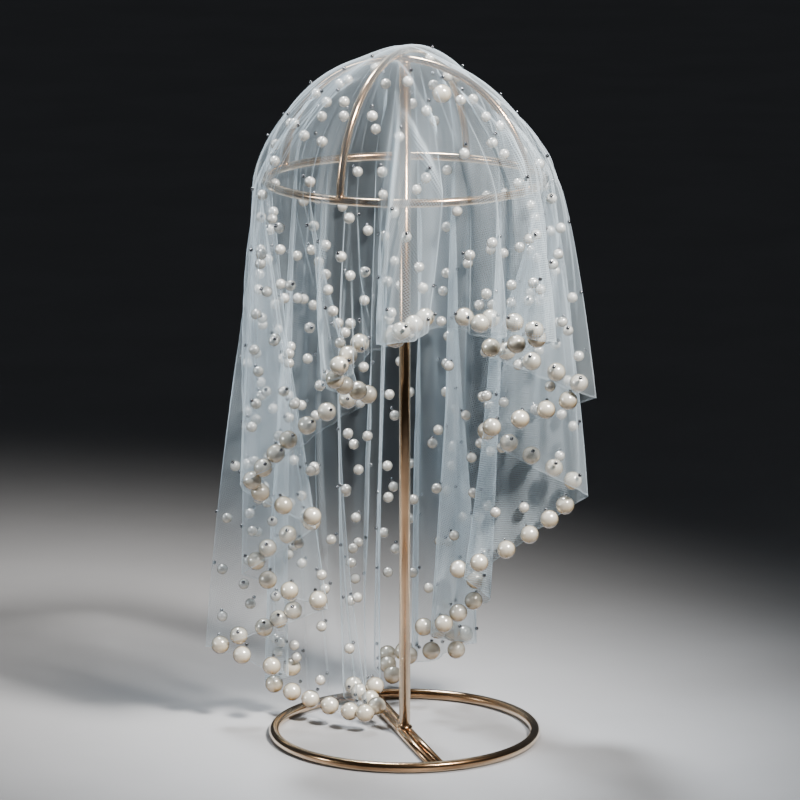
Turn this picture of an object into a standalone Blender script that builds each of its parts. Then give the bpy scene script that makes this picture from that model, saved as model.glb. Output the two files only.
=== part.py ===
"""Pearl-edged bridal veil, draped off centre over its gold wire stand.

Metres, +Z up, the wearer's front towards -Y. The origin is the middle of the stand's underside.
Azimuths are degrees round the post, 0 at the front (-Y) and rising towards +X.
The veil is one round of tulle. Every point of it is named by its flat azimuth and its run, the
distance along the cloth from the crown, and drape() says where that point hangs.
"""
import math

import bmesh
import bpy
from mathutils import Vector
from mathutils.bvhtree import BVHTree

# ---- Stand: driving dimensions ----
BASE_RING_RADIUS = 0.0694  # to the wire's centre line
BASE_WIRE = 0.0055
BAR_ROD = 0.0040
BAR_SPACING = 0.0048  # between the two rods' centre lines
BAR_AZIMUTH = 15.0
POST_DIAMETER = 0.0060
HEAD_RING_RADIUS = 0.0722
HEAD_RING_HEIGHT = 0.300
HEAD_WIRE = 0.0045
HOOP_WIRE = 0.0040
HOOP_RISE = 0.0670  # top of the outer hoop's centre line above the head ring's
FRONT_HOOP_AZIMUTH = -27.0
SIDE_HOOP_AZIMUTH = 60.5
GAP = 0.0003

# ---- Veil: driving dimensions ----
CLOTH_RADIUS = 0.300
CROWN_OFFSET = 0.115  # from the round's middle to the point on top of the stand
SHORT_SIDE = 20.0  # azimuth of the shortest drop
WALL = 0.0012
CROWN_REACH = 0.0756  # radius of the cloth where it rests on the head ring
CROWN_RISE = 0.0703  # height of the cloth's crown above the head ring
CROWN_TOP = 0.030  # run within which the cloth comes down from the outer hoop to the inner one
RUN_TO_RING = 0.116
RUN_TO_SEAM = 0.128
TURN_FROM = 0.050  # run where the fold lines start to turn from flat to hanging azimuth
STAND_OFF_FROM = 0.065  # run where the crests start to stand off the stand
HANG = 0.985  # height lost for each metre of run below the ring
LOBE = 1.0  # how round the crests and valleys are: 0 is a plain wave, above 1 they swell over their necks
FOLD_DEPTH = 0.030  # radial depth at which a fold's sides hang as straight walls
LOBE_LIMIT = math.radians(17)  # widest half fold whose lobes still grow with it
CREST_BOW = 0.72  # crests swing out soon below the ring
VALLEY_BOW = 1.1  # valleys hang straight first and then swing in
CREST_WIDTH = 0.14  # share of each half fold's azimuth that the crest takes from the valley
PEARL = 0.010
PEARL_PITCH = 0.0140  # along the hem
HEM_BAND = 0.014  # the pearls' middles run half way up it

# ---- Folds: the crest and valley lines that run down the cloth, in order of flat azimuth ----
# flat: azimuth of the line on the flat round;  hang: azimuth where it hangs at the hem
# stand_off: mm clear of the head ring;  reach: mm from the post's axis at the hem
FOLD_COLUMNS = ("flat", "hang", "stand_off", "reach")
FOLDS = (
    (-180, -176, 5, 102),
    (-172, -161, 0, 52),
    (-165, -155, 3, 68),
    (-157, -118, 0, 22),
    (-141, -122, 4, 86),
    (-130, -112, 0, 68),
    (-120, -104, 4, 109),
    (-107, -112, 0, 44),
    (-97, -97, 3, 86),
    (-83, -84, 0, 48),
    (-68, -69, 5, 91),
    (-46, -46, 0, 32),
    (-25, -25, 5, 85),
    (-14, -15, 0, 48),
    (7, -5, 6, 85),
    (20, 21, 0, 56),
    (30, 33, 5, 87),
    (37, 43, 0, 66),
    (46, 55, 5, 91),
    (67, 71, 0, 48),
    (83, 79, 4, 100),
    (99, 90, 0, 40),
    (117, 100, 4, 98),
    (138, 118, 0, 38),
    (149, 134, 3, 60),
    (157, 158, 0, 34),
    (167, 152, 4, 82),
    (172, 168, 0, 60),
)

# ---- Spans of cloth between the hoops' feet: from azimuth, to azimuth, sag ----
# sag: share of its radius that the cloth loses half way between the feet, near the top
SPANS = (
    (-119.5, -27.0, 0.28),
    (-27.0, 60.5, 0.26),
    (60.5, 153.0, 0.46),
    (153.0, 240.5, 0.30),
)

# ---- Stretches of the veil below the seam: name, flat azimuths of its first and last fold line ----
FALLS = (
    ("veil_fall_left_back", -180, -107),
    ("veil_fall_left_front", -107, -46),
    ("veil_fall_front", -46, 20),
    ("veil_fall_right_front", 20, 67),
    ("veil_fall_right_back", 67, 138),
    ("veil_fall_back", 138, 180),
)

# ---- Mesh density ----
NORMAL_STEP = 0.005
FOLD_STEPS = 12
CROWN_COLUMNS = 63
CROWN_ROWS = 9
FALL_ROWS = 8
PEARL_SIDES = 6
PEARL_LEVELS = ((0.62, 0.03), (1.0, 0.45), (0.72, 0.86))  # radius and height, in pearl radii and pearls
RING_SEGMENTS = 48
WIRE_SIDES = 8
HOOP_SEGMENTS = 24


def clear_scene():
    for old in list(bpy.data.objects):
        bpy.data.objects.remove(old, do_unlink=True)


def make_material(name, colour, roughness, metallic):
    material = bpy.data.materials.new(name)
    material.use_nodes = True
    shader = material.node_tree.nodes["Principled BSDF"]
    shader.inputs["Base Color"].default_value = (*colour, 1.0)
    shader.inputs["Roughness"].default_value = roughness
    shader.inputs["Metallic"].default_value = metallic
    return material


def add_object(name, build, material):
    """A new object whose mesh is the given bmesh, with its faces turned outwards."""
    bmesh.ops.recalc_face_normals(build, faces=build.faces)
    mesh = bpy.data.meshes.new(name)
    build.to_mesh(mesh)
    build.free()
    mesh.materials.append(material)
    mesh.shade_smooth()
    mesh.set_sharp_from_angle(angle=math.radians(40))
    obj = bpy.data.objects.new(name, mesh)
    bpy.context.scene.collection.objects.link(obj)
    return obj


def direction(azimuth):
    """Unit vector at an azimuth in radians."""
    return Vector((math.sin(azimuth), -math.cos(azimuth), 0.0))


# ---- Stand ----
def circle_section(centre, across, up, diameter, sides):
    """Corners of a wire's section, with flats at its top, bottom and sides."""
    radius = diameter / 2 / math.cos(math.pi / sides)
    corners = []
    for n in range(sides):
        turn = 2 * math.pi * (n + 0.5) / sides
        corners.append(centre + across * (radius * math.cos(turn)) + up * (radius * math.sin(turn)))
    return corners


def loft(build, sections, closed):
    """Faces through a row of sections, joined end to start if closed and capped if not."""
    rings = [[build.verts.new(corner) for corner in section] for section in sections]
    count = len(rings[0])
    pairs = len(rings) if closed else len(rings) - 1
    for n in range(pairs):
        here = rings[n]
        there = rings[(n + 1) % len(rings)]
        for k in range(count):
            after = (k + 1) % count
            build.faces.new((here[k], here[after], there[after], there[k]))
    if not closed:
        build.faces.new(rings[0])
        build.faces.new(rings[-1])


def make_wire_ring(name, radius, wire, height, material):
    build = bmesh.new()
    sections = []
    for n in range(RING_SEGMENTS):
        out = direction(2 * math.pi * n / RING_SEGMENTS)
        centre = out * radius + Vector((0, 0, height))
        sections.append(circle_section(centre, out, Vector((0, 0, 1)), wire, WIRE_SIDES))
    loft(build, sections, closed=True)
    return add_object(name, build, material)


def make_base_bar(material):
    """Two rods side by side with one flat underside, between the inner sides of the base ring."""
    half = BASE_RING_RADIUS - BASE_WIRE / 2 - GAP
    rod = BAR_ROD / 2
    profile = [(BAR_SPACING / 2 + rod, 0.0)]
    for side in (1, -1):
        for turn in (0, 45, 90, 135, 180):
            if side == -1 and turn == 0:
                continue
            across = side * BAR_SPACING / 2 + rod * math.cos(math.radians(turn))
            profile.append((across, rod + rod * math.sin(math.radians(turn))))
        if side == 1:
            profile[-1] = (0.0, profile[-1][1])
    profile.append((-BAR_SPACING / 2 - rod, 0.0))
    along = direction(math.radians(BAR_AZIMUTH))
    across_axis = direction(math.radians(BAR_AZIMUTH + 90))
    build = bmesh.new()
    sections = []
    for end in (-half, half):
        sections.append([along * end + across_axis * a + Vector((0, 0, z)) for a, z in profile])
    loft(build, sections, closed=False)
    return add_object("base_bar", build, material)


def make_post(top, material):
    build = bmesh.new()
    sections = []
    for z in (BAR_ROD + GAP, top):
        centre = Vector((0, 0, z))
        sections.append(circle_section(centre, Vector((1, 0, 0)), Vector((0, 1, 0)), POST_DIAMETER, 12))
    loft(build, sections, closed=False)
    return add_object("post", build, material)


def make_hoop(name, azimuth, rise, material):
    """A half ellipse of wire whose feet stand on the head ring."""
    foot = math.asin((HEAD_WIRE / 2 + GAP) / rise)
    out = direction(math.radians(azimuth))
    side = Vector((-out.y, out.x, 0))
    build = bmesh.new()
    sections = []
    for n in range(HOOP_SEGMENTS + 1):
        turn = foot + (math.pi - 2 * foot) * n / HOOP_SEGMENTS
        centre = out * (HEAD_RING_RADIUS * math.cos(turn))
        centre.z = HEAD_RING_HEIGHT + rise * math.sin(turn)
        along = out * (-HEAD_RING_RADIUS * math.sin(turn)) + Vector((0, 0, rise * math.cos(turn)))
        if n in (0, HOOP_SEGMENTS):
            along = Vector((0, 0, along.z))
        along.normalize()
        sections.append(circle_section(centre, along.cross(side), side, HOOP_WIRE, WIRE_SIDES))
    loft(build, sections, closed=False)
    return add_object(name, build, material)


# ---- Veil ----
def smooth_step(low, high, value):
    x = min(1.0, max(0.0, (value - low) / (high - low)))
    return x * x * (3 - 2 * x)


def run_to_hem(flat):
    """Length of cloth from the crown to the raw edge at a flat azimuth in radians."""
    turn = flat - math.radians(SHORT_SIDE)
    across = CROWN_OFFSET * math.sin(turn)
    return -CROWN_OFFSET * math.cos(turn) + math.sqrt(CLOTH_RADIUS ** 2 - across ** 2)


def sag_at(azimuth):
    """Share of its radius that the crown loses between the hoops."""
    degrees = math.degrees(azimuth)
    for start, end, sag in SPANS:
        along = ((degrees - start) % 360) / (end - start)
        if along < 1:
            return sag * math.sin(math.pi * along) ** 2
    return 0.0


def fold_lines():
    """Each fold line as a dictionary, angles in radians and lengths in metres."""
    lines = []
    for row in FOLDS:
        line = dict(zip(FOLD_COLUMNS, row))
        flat = math.radians(line["flat"])
        lines.append(
            {
                "flat": flat,
                "hang": math.radians(line["hang"]),
                "stand_off": line["stand_off"] / 1000,
                "reach": line["reach"] / 1000,
                "hem": run_to_hem(flat),
            }
        )
    return lines


LINES = fold_lines()


def line_place(line, run):
    """Azimuth where a fold line hangs at this run, and its stand-off or radius there."""
    turned = smooth_step(TURN_FROM, line["hem"], run)
    azimuth = line["flat"] + (line["hang"] - line["flat"]) * turned
    stand_off = line["stand_off"] * smooth_step(STAND_OFF_FROM, RUN_TO_RING, run)
    below = max(0.0, run - RUN_TO_RING)
    at_ring = CROWN_REACH + line["stand_off"]
    fall = below / (line["hem"] - RUN_TO_RING)
    bow = CREST_BOW if line["reach"] > at_ring else VALLEY_BOW
    return azimuth, stand_off, at_ring + (line["reach"] - at_ring) * fall ** bow


def fold_curve(left, right, wrap, share, run):
    """Azimuth, stand-off and radius at a share of the way between two fold lines."""
    left_azimuth, left_off, left_radius = line_place(left, run)
    right_azimuth, right_off, right_radius = line_place(right, run)
    spread = right_azimuth + wrap - left_azimuth
    crest = CREST_WIDTH if left["reach"] > right["reach"] else -CREST_WIDTH
    blend = (1 - math.cos(math.pi * share)) / 2
    across = share + LOBE * math.sin(2 * math.pi * share) / (2 * math.pi)
    across += crest * math.sin(math.pi * share) ** 2
    chord_x = left_radius * (1 - blend) + right_radius * blend * math.cos(spread)
    chord_y = right_radius * blend * math.sin(spread)
    straight = smooth_step(0.0, FOLD_DEPTH, abs(left_radius - right_radius))
    azimuth = left_azimuth + spread * blend * (1 - straight) + math.atan2(chord_y, chord_x) * straight
    azimuth += (across - blend) * min(LOBE_LIMIT, abs(spread))
    off = left_off + (right_off - left_off) * blend
    return azimuth, off, left_radius + (right_radius - left_radius) * blend


def even_share(left, right, wrap, share, run):
    """The share along the fold curve at which this share of its length is used up."""
    steps = [n / FOLD_STEPS for n in range(FOLD_STEPS + 1)]
    points = []
    for step in steps:
        azimuth, off, radius = fold_curve(left, right, wrap, step, run)
        points.append(direction(azimuth) * radius)
    lengths = [0.0]
    for here, there in zip(points, points[1:]):
        lengths.append(lengths[-1] + (there - here).length)
    wanted = share * lengths[-1]
    for n in range(FOLD_STEPS):
        if wanted <= lengths[n + 1]:
            return (n + (wanted - lengths[n]) / (lengths[n + 1] - lengths[n])) / FOLD_STEPS
    return 1.0


def drape(flat, run):
    """Where the point of the cloth at this flat azimuth and run hangs."""
    flat = (flat - LINES[0]["flat"]) % (2 * math.pi) + LINES[0]["flat"]
    index = max(n for n, line in enumerate(LINES) if line["flat"] <= flat)
    left = LINES[index]
    right = LINES[(index + 1) % len(LINES)]
    wrap = 2 * math.pi if index + 1 == len(LINES) else 0.0
    share = (flat - left["flat"]) / (right["flat"] + wrap - left["flat"])
    share = even_share(left, right, wrap, share, run)
    azimuth, off, radius = fold_curve(left, right, wrap, share, run)
    if run < RUN_TO_RING:
        tilt = math.pi / 2 * run / RUN_TO_RING
        flatten = 1 - sag_at(azimuth) * math.cos(tilt)
        radius = (CROWN_REACH * flatten + off) * math.sin(tilt)
        off_the_ridge = math.sin(azimuth - math.radians(FRONT_HOOP_AZIMUTH)) ** 2
        rise = CROWN_RISE - HOOP_WIRE * off_the_ridge * smooth_step(0.0, CROWN_TOP, run)
        height = HEAD_RING_HEIGHT + (rise + off) * math.cos(tilt)
    else:
        height = HEAD_RING_HEIGHT - HANG * (run - RUN_TO_RING)
    return direction(azimuth) * radius + Vector((0, 0, height))


def outward(flat, run):
    """Unit normal of the draped cloth, away from the stand, taken over a short stretch each way."""
    down = drape(flat, run + NORMAL_STEP) - drape(flat, run - NORMAL_STEP)
    turn = NORMAL_STEP / run
    round_ = drape(flat + turn, run) - drape(flat - turn, run)
    return round_.cross(-down).normalized()


def wall_points(flat, run, shift=0.0):
    """The outer and inner point of the wall at a point of the cloth, shifted along it from a seam."""
    normal = outward(flat, run)
    along = Vector((0, 0, 1)).cross(normal).normalized()
    middle = drape(flat, run) + along * shift
    half = normal * (WALL / 2)
    return middle + half, middle - half


def add_pair(build, pair):
    return build.verts.new(pair[0]), build.verts.new(pair[1])


def quad(build, a, b, c, d):
    build.faces.new((a, b, c, d))


def make_crown(material):
    """The stretch over the hoops and the head ring, down to the seam below the ring."""
    build = bmesh.new()
    top = drape(0.0, 0.0)
    tip_out = build.verts.new(top + Vector((0, 0, WALL / 2)))
    tip_in = build.verts.new(top - Vector((0, 0, WALL / 2)))
    last = RUN_TO_SEAM - GAP / 2
    runs = [RUN_TO_RING * (n + 1) / CROWN_ROWS for n in range(CROWN_ROWS)] + [last]
    flats = [2 * math.pi * n / CROWN_COLUMNS for n in range(CROWN_COLUMNS)]
    rows = [[add_pair(build, wall_points(flat, run)) for flat in flats] for run in runs]
    for k in range(CROWN_COLUMNS):
        after = (k + 1) % CROWN_COLUMNS
        build.faces.new((tip_out, rows[0][k][0], rows[0][after][0]))
        build.faces.new((tip_in, rows[0][after][1], rows[0][k][1]))
        for here, there in zip(rows, rows[1:]):
            quad(build, here[k][0], there[k][0], there[after][0], here[after][0])
            quad(build, here[after][1], there[after][1], there[k][1], here[k][1])
        quad(build, rows[-1][k][0], rows[-1][k][1], rows[-1][after][1], rows[-1][after][0])
    return add_object("veil_crown", build, material)


def fall_grid(columns):
    """Wall points of a fall: for each column, its pairs from the seam to the raw edge."""
    start = RUN_TO_SEAM + GAP / 2
    shifts = [GAP / 2] + [0.0] * (len(columns) - 2) + [-GAP / 2]
    grid = []
    for flat, shift in zip(columns, shifts):
        hem = run_to_hem(flat)
        band = hem - HEM_BAND
        runs = [start + (band - start) * n / (FALL_ROWS - 1) for n in range(FALL_ROWS)] + [hem]
        grid.append([wall_points(flat, run, shift) for run in runs])
    return grid


def wall_tree(grids):
    """A search tree of every fall's wall, and the fall and column that each of its faces is in."""
    points = []
    faces = []
    owners = []
    for name, grid in grids.items():
        for column, (here, there) in enumerate(zip(grid, grid[1:])):
            for n in range(len(here) - 1):
                for side in (0, 1):
                    first = len(points)
                    points += [here[n][side], here[n + 1][side], there[n + 1][side], there[n][side]]
                    faces.append((first, first + 1, first + 2, first + 3))
                    owners.append((name, column))
    return BVHTree.FromPolygons(points, faces), owners


def pearl_frame(corners):
    """Middle, inward normal, and the two directions along a hem cell's inner face."""
    low_left, low_right, top_right, top_left = corners
    middle = (low_left + low_right + top_right + top_left) / 4
    along = (low_right + top_right - low_left - top_left).normalized()
    up = (top_left + top_right - low_left - low_right).normalized()
    inward = up.cross(along).normalized()
    return middle, inward, along, along.cross(inward).normalized()


def has_room(centre, owner, walls, placed):
    """Whether a pearl here clears the pearls before it and every wall but its own."""
    tree, owners = walls
    if any((centre - other).length < PEARL + GAP for other in placed):
        return False
    near = tree.find_nearest_range(centre, PEARL / 2 + GAP)
    return all(owners[hit[2]] == owner for hit in near)


def raise_pearl(build, corners):
    """A hem pearl, raised from a cell of the wall's inner face."""
    middle, inward, along, up = pearl_frame([corner.co for corner in corners])
    rings = []
    for wide, high in PEARL_LEVELS:
        ring = []
        for n in range(PEARL_SIDES):
            turn = math.radians(210) + 2 * math.pi * n / PEARL_SIDES
            offset = along * math.cos(turn) + up * math.sin(turn)
            ring.append(build.verts.new(middle + offset * (wide * PEARL / 2) + inward * (high * PEARL)))
        rings.append(ring)
    low_left, low_right, top_right, top_left = corners
    foot = rings[0]  # at 210, 270, 330, 30, 90 and 150 degrees
    build.faces.new((low_left, foot[1], foot[0]))
    build.faces.new((low_left, low_right, foot[1]))
    build.faces.new((low_right, foot[2], foot[1]))
    quad(build, low_right, top_right, foot[3], foot[2])
    build.faces.new((top_right, foot[4], foot[3]))
    build.faces.new((top_right, top_left, foot[4]))
    build.faces.new((top_left, foot[5], foot[4]))
    quad(build, top_left, low_left, foot[0], foot[5])
    for here, there in zip(rings, rings[1:]):
        for n in range(PEARL_SIDES):
            after = (n + 1) % PEARL_SIDES
            quad(build, here[n], here[after], there[after], there[n])
    build.faces.new(rings[-1])


def make_fall(name, points, walls, placed, material):
    """One stretch below the seam: a wall through its columns, with its hem pearls inside."""
    build = bmesh.new()
    grid = [[add_pair(build, pair) for pair in column] for column in points]
    last = len(grid[0]) - 2
    for column, (here, there) in enumerate(zip(grid, grid[1:])):
        for n in range(last + 1):
            quad(build, here[n][0], here[n + 1][0], there[n + 1][0], there[n][0])
            corners = (here[n + 1][1], there[n + 1][1], there[n][1], here[n][1])
            middle, inward, along, up = pearl_frame([corner.co for corner in corners])
            centre = middle + inward * (PEARL / 2)
            if n == last and has_room(centre, (name, column), walls, placed):
                placed.append(centre)
                raise_pearl(build, corners)
            else:
                build.faces.new(tuple(reversed(corners)))
        quad(build, here[0][0], there[0][0], there[0][1], here[0][1])
        quad(build, here[-1][0], here[-1][1], there[-1][1], there[-1][0])
    for column in (grid[0], grid[-1]):
        for n in range(last + 1):
            quad(build, column[n][0], column[n + 1][0], column[n + 1][1], column[n][1])
    return add_object(name, build, material)


def hem_cells():
    """Flat azimuths between the hem pearls, with each fold line among them, once round."""
    cells = []
    for n, line in enumerate(LINES):
        after = LINES[(n + 1) % len(LINES)]["flat"] + (2 * math.pi if n + 1 == len(LINES) else 0.0)
        span = after - line["flat"]
        steps = [line["flat"] + span * k / FOLD_STEPS for k in range(FOLD_STEPS + 1)]
        points = [drape(flat, run_to_hem(flat)) for flat in steps]
        length = sum((there - here).length for here, there in zip(points, points[1:]))
        count = max(1, round(length / PEARL_PITCH))
        cells += [line["flat"] + span * k / count for k in range(count)]
    return cells


def build_object():
    clear_scene()
    gold = make_material("rose gold lacquer", (0.72, 0.45, 0.28), 0.28, 0.9)
    tulle = make_material("white tulle", (0.82, 0.86, 0.9), 0.7, 0.0)
    hoop_rise_inner = HOOP_RISE - HOOP_WIRE - GAP
    make_wire_ring("base_ring", BASE_RING_RADIUS, BASE_WIRE, BASE_WIRE / 2, gold)
    make_base_bar(gold)
    post_top = HEAD_RING_HEIGHT + hoop_rise_inner - HOOP_WIRE / 2 - GAP
    make_post(post_top, gold)
    make_wire_ring("head_ring", HEAD_RING_RADIUS, HEAD_WIRE, HEAD_RING_HEIGHT, gold)
    make_hoop("front_hoop", FRONT_HOOP_AZIMUTH, HOOP_RISE, gold)
    make_hoop("side_hoop", SIDE_HOOP_AZIMUTH, hoop_rise_inner, gold)
    make_crown(tulle)
    edges = hem_cells()
    edges += [edge + 2 * math.pi for edge in edges]
    grids = {}
    for name, start, end in FALLS:
        first = math.radians(start) - 1e-6
        last = math.radians(end) + 1e-6
        grids[name] = fall_grid([edge for edge in edges if first <= edge <= last])
    walls = wall_tree(grids)
    placed = []
    for name, points in grids.items():
        make_fall(name, points, walls, placed, tulle)
    print("hem pearls raised:", len(placed))


build_object()
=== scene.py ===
import math
import random

import bmesh
import bpy
from mathutils import Matrix, Vector


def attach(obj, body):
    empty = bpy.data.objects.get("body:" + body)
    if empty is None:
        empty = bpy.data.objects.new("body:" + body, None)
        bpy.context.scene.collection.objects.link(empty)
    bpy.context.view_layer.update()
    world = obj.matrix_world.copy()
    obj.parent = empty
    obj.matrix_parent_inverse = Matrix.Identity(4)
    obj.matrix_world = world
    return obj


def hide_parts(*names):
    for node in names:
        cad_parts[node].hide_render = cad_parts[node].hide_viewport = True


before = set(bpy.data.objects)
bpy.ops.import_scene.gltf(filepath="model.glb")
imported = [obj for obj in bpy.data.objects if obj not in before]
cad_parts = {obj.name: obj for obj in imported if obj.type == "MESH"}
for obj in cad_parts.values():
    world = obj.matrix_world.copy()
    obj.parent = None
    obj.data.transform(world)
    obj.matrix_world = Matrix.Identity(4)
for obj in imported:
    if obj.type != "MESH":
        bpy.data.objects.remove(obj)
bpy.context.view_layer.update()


# ---- Stand: rose-gold wire ----
# Round steel wire, bent to rings and hoops, brazed where it meets and lacquered rose gold. It stands
# on its base ring and on the double bar across it, and the veil hangs over the hoops and head ring.
BASE_RING_RADIUS = 0.0694
BASE_WIRE = 0.0055
BAR_ROD = 0.0040
BAR_SPACING = 0.0048
BAR_AZIMUTH = math.radians(15.0)
POST_DIAMETER = 0.0060
HEAD_RING_RADIUS = 0.0722
HEAD_RING_HEIGHT = 0.300
HEAD_WIRE = 0.0045
HOOP_WIRE = 0.0040
HOOP_RISE = 0.0670
HOOP_SUNK = 0.8  # share of the head ring's own radius up which a hoop's foot is let in
FRONT_HOOP_AZIMUTH = math.radians(-27.0)
SIDE_HOOP_AZIMUTH = math.radians(60.5)
WIRE_SIDES = 20
POST_SIDES = 28
RING_STEPS = 144

# The lacquer goes darker and lighter in patches; a pale painted sheen is laid into its colour where the wire
# turns away from the eye.
GOLD_PATCHES = 28.0  # patches to the metre
GOLD_SHADE = (0.22, 0.12, 0.055, 1.0)
GOLD_LIGHT = (0.50, 0.30, 0.16, 1.0)
GOLD_PAINTED_SHEEN = (1.0, 0.80, 0.58, 1.0)
DRAWING_MARKS = 1120.0  # marks to the metre, left by the drawing of the wire

# Brazing drops: the radius of each kind, and how flat they run out.
DROP_ON_BAR = 0.0042
DROP_ON_POST = 0.0033
DROP_ON_HEAD_RING = 0.0026
DROP_ON_BASE_RING = 0.0030
DROP_SQUASH = 0.55
DROP_LIFT = 0.42  # how far above the head ring's middle a hoop's drop sits, in the ring's wires
DROP_ROUNDNESS = 3


def direction(azimuth):
    """Unit vector at an azimuth, 0 at the front and rising to the right."""
    return Vector((math.sin(azimuth), -math.cos(azimuth), 0.0))


def start_material(name):
    """A new material with its node tree, its Principled shader and its Object coordinates."""
    material = bpy.data.materials.new(name)
    material.use_nodes = True
    tree = material.node_tree
    place = tree.nodes.new("ShaderNodeTexCoord").outputs["Object"]
    return material, tree, tree.nodes["Principled BSDF"], place


def make_uneven_tone():
    """Node group that lets one finish go lighter and darker in soft patches: its tone, and their mask."""
    group = bpy.data.node_groups.new("uneven tone", "ShaderNodeTree")
    group.interface.new_socket(name="Vector", in_out="INPUT", socket_type="NodeSocketVector")
    group.interface.new_socket(name="Scale", in_out="INPUT", socket_type="NodeSocketFloat")
    group.interface.new_socket(name="Shade", in_out="INPUT", socket_type="NodeSocketColor")
    group.interface.new_socket(name="Light", in_out="INPUT", socket_type="NodeSocketColor")
    group.interface.new_socket(name="Tone", in_out="OUTPUT", socket_type="NodeSocketColor")
    group.interface.new_socket(name="Patches", in_out="OUTPUT", socket_type="NodeSocketFloat")
    given = group.nodes.new("NodeGroupInput")
    cloud = group.nodes.new("ShaderNodeTexNoise")
    cloud.inputs["Detail"].default_value = 3.0
    group.links.new(given.outputs["Vector"], cloud.inputs["Vector"])
    group.links.new(given.outputs["Scale"], cloud.inputs["Scale"])
    patches = group.nodes.new("ShaderNodeMapRange")
    patches.inputs["From Min"].default_value = 0.34
    patches.inputs["From Max"].default_value = 0.64
    group.links.new(cloud.outputs["Fac"], patches.inputs["Value"])
    tone = group.nodes.new("ShaderNodeMix")
    tone.data_type = "RGBA"
    group.links.new(patches.outputs["Result"], tone.inputs["Factor"])
    group.links.new(given.outputs["Shade"], tone.inputs[6])
    group.links.new(given.outputs["Light"], tone.inputs[7])
    result = group.nodes.new("NodeGroupOutput")
    group.links.new(tone.outputs[2], result.inputs["Tone"])
    group.links.new(patches.outputs["Result"], result.inputs["Patches"])
    return group


def add_uneven_tone(tree, place, scale, shade, light):
    """The group above in a material, at this many patches to the metre, between two colours."""
    uneven = tree.nodes.new("ShaderNodeGroup")
    uneven.node_tree = uneven_tone
    uneven.inputs["Scale"].default_value = scale
    uneven.inputs["Shade"].default_value = shade
    uneven.inputs["Light"].default_value = light
    tree.links.new(place, uneven.inputs["Vector"])
    return uneven


def rose_gold():
    """Lacquered rose-gold wire with faint drawing marks and dulled patches, and a pale painted sheen towards
    its edges.
    """
    material, tree, shader, place = start_material("rose gold lacquer")
    nodes = tree.nodes
    links = tree.links
    shader.inputs["Metallic"].default_value = 1.0
    shader.inputs["Coat Weight"].default_value = 0.6
    shader.inputs["Coat Roughness"].default_value = 0.08
    uneven = add_uneven_tone(tree, place, GOLD_PATCHES, GOLD_SHADE, GOLD_LIGHT)
    # Painted sheen: the base colour pales towards a light gold where the wire turns edge on to the eye.
    sheen = nodes.new("ShaderNodeLayerWeight")
    sheen.inputs["Blend"].default_value = 0.5
    painted_rim = nodes.new("ShaderNodeMapRange")
    painted_rim.interpolation_type = "SMOOTHSTEP"
    painted_rim.inputs["From Min"].default_value = 0.18
    painted_rim.inputs["From Max"].default_value = 0.72
    links.new(sheen.outputs["Facing"], painted_rim.inputs["Value"])
    lacquer_and_painted_sheen = nodes.new("ShaderNodeMix")
    lacquer_and_painted_sheen.data_type = "RGBA"
    lacquer_and_painted_sheen.inputs[7].default_value = GOLD_PAINTED_SHEEN
    links.new(painted_rim.outputs["Result"], lacquer_and_painted_sheen.inputs["Factor"])
    links.new(uneven.outputs["Tone"], lacquer_and_painted_sheen.inputs[6])
    links.new(lacquer_and_painted_sheen.outputs[2], shader.inputs["Base Color"])
    dull = nodes.new("ShaderNodeMapRange")
    dull.inputs["To Min"].default_value = 0.26
    dull.inputs["To Max"].default_value = 0.17
    links.new(uneven.outputs["Patches"], dull.inputs["Value"])
    links.new(dull.outputs["Result"], shader.inputs["Roughness"])
    marks = nodes.new("ShaderNodeTexNoise")
    marks.inputs["Scale"].default_value = DRAWING_MARKS
    links.new(place, marks.inputs["Vector"])
    bump = nodes.new("ShaderNodeBump")
    bump.inputs["Strength"].default_value = 0.12
    bump.inputs["Distance"].default_value = 0.0002
    links.new(marks.outputs["Fac"], bump.inputs["Height"])
    links.new(bump.outputs["Normal"], shader.inputs["Normal"])
    return material


def finish_piece(name, build, material):
    """Object from a bmesh, with smooth faces, riding on the one body."""
    mesh = bpy.data.meshes.new(name)
    build.to_mesh(mesh)
    build.free()
    mesh.materials.append(material)
    mesh.shade_smooth()
    piece = bpy.data.objects.new(name, mesh)
    bpy.context.scene.collection.objects.link(piece)
    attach(piece, "root")
    return piece


def wire_ring(name, radius, wire, height):
    """A level ring of round wire, its section spun once about the post."""
    build = bmesh.new()
    section = bmesh.ops.create_circle(
        build, segments=WIRE_SIDES, radius=wire / 2,
        matrix=Matrix.Translation((radius, 0, height)) @ Matrix.Rotation(math.pi / 2, 4, "X"),
    )
    edges = {edge for vert in section["verts"] for edge in vert.link_edges}
    bmesh.ops.spin(
        build, geom=list(edges), axis=(0, 0, 1), cent=(0, 0, 0),
        angle=2 * math.pi, steps=RING_STEPS, use_merge=True,
    )
    bmesh.ops.recalc_face_normals(build, faces=build.faces)
    return finish_piece(name, build, gold)


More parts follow.
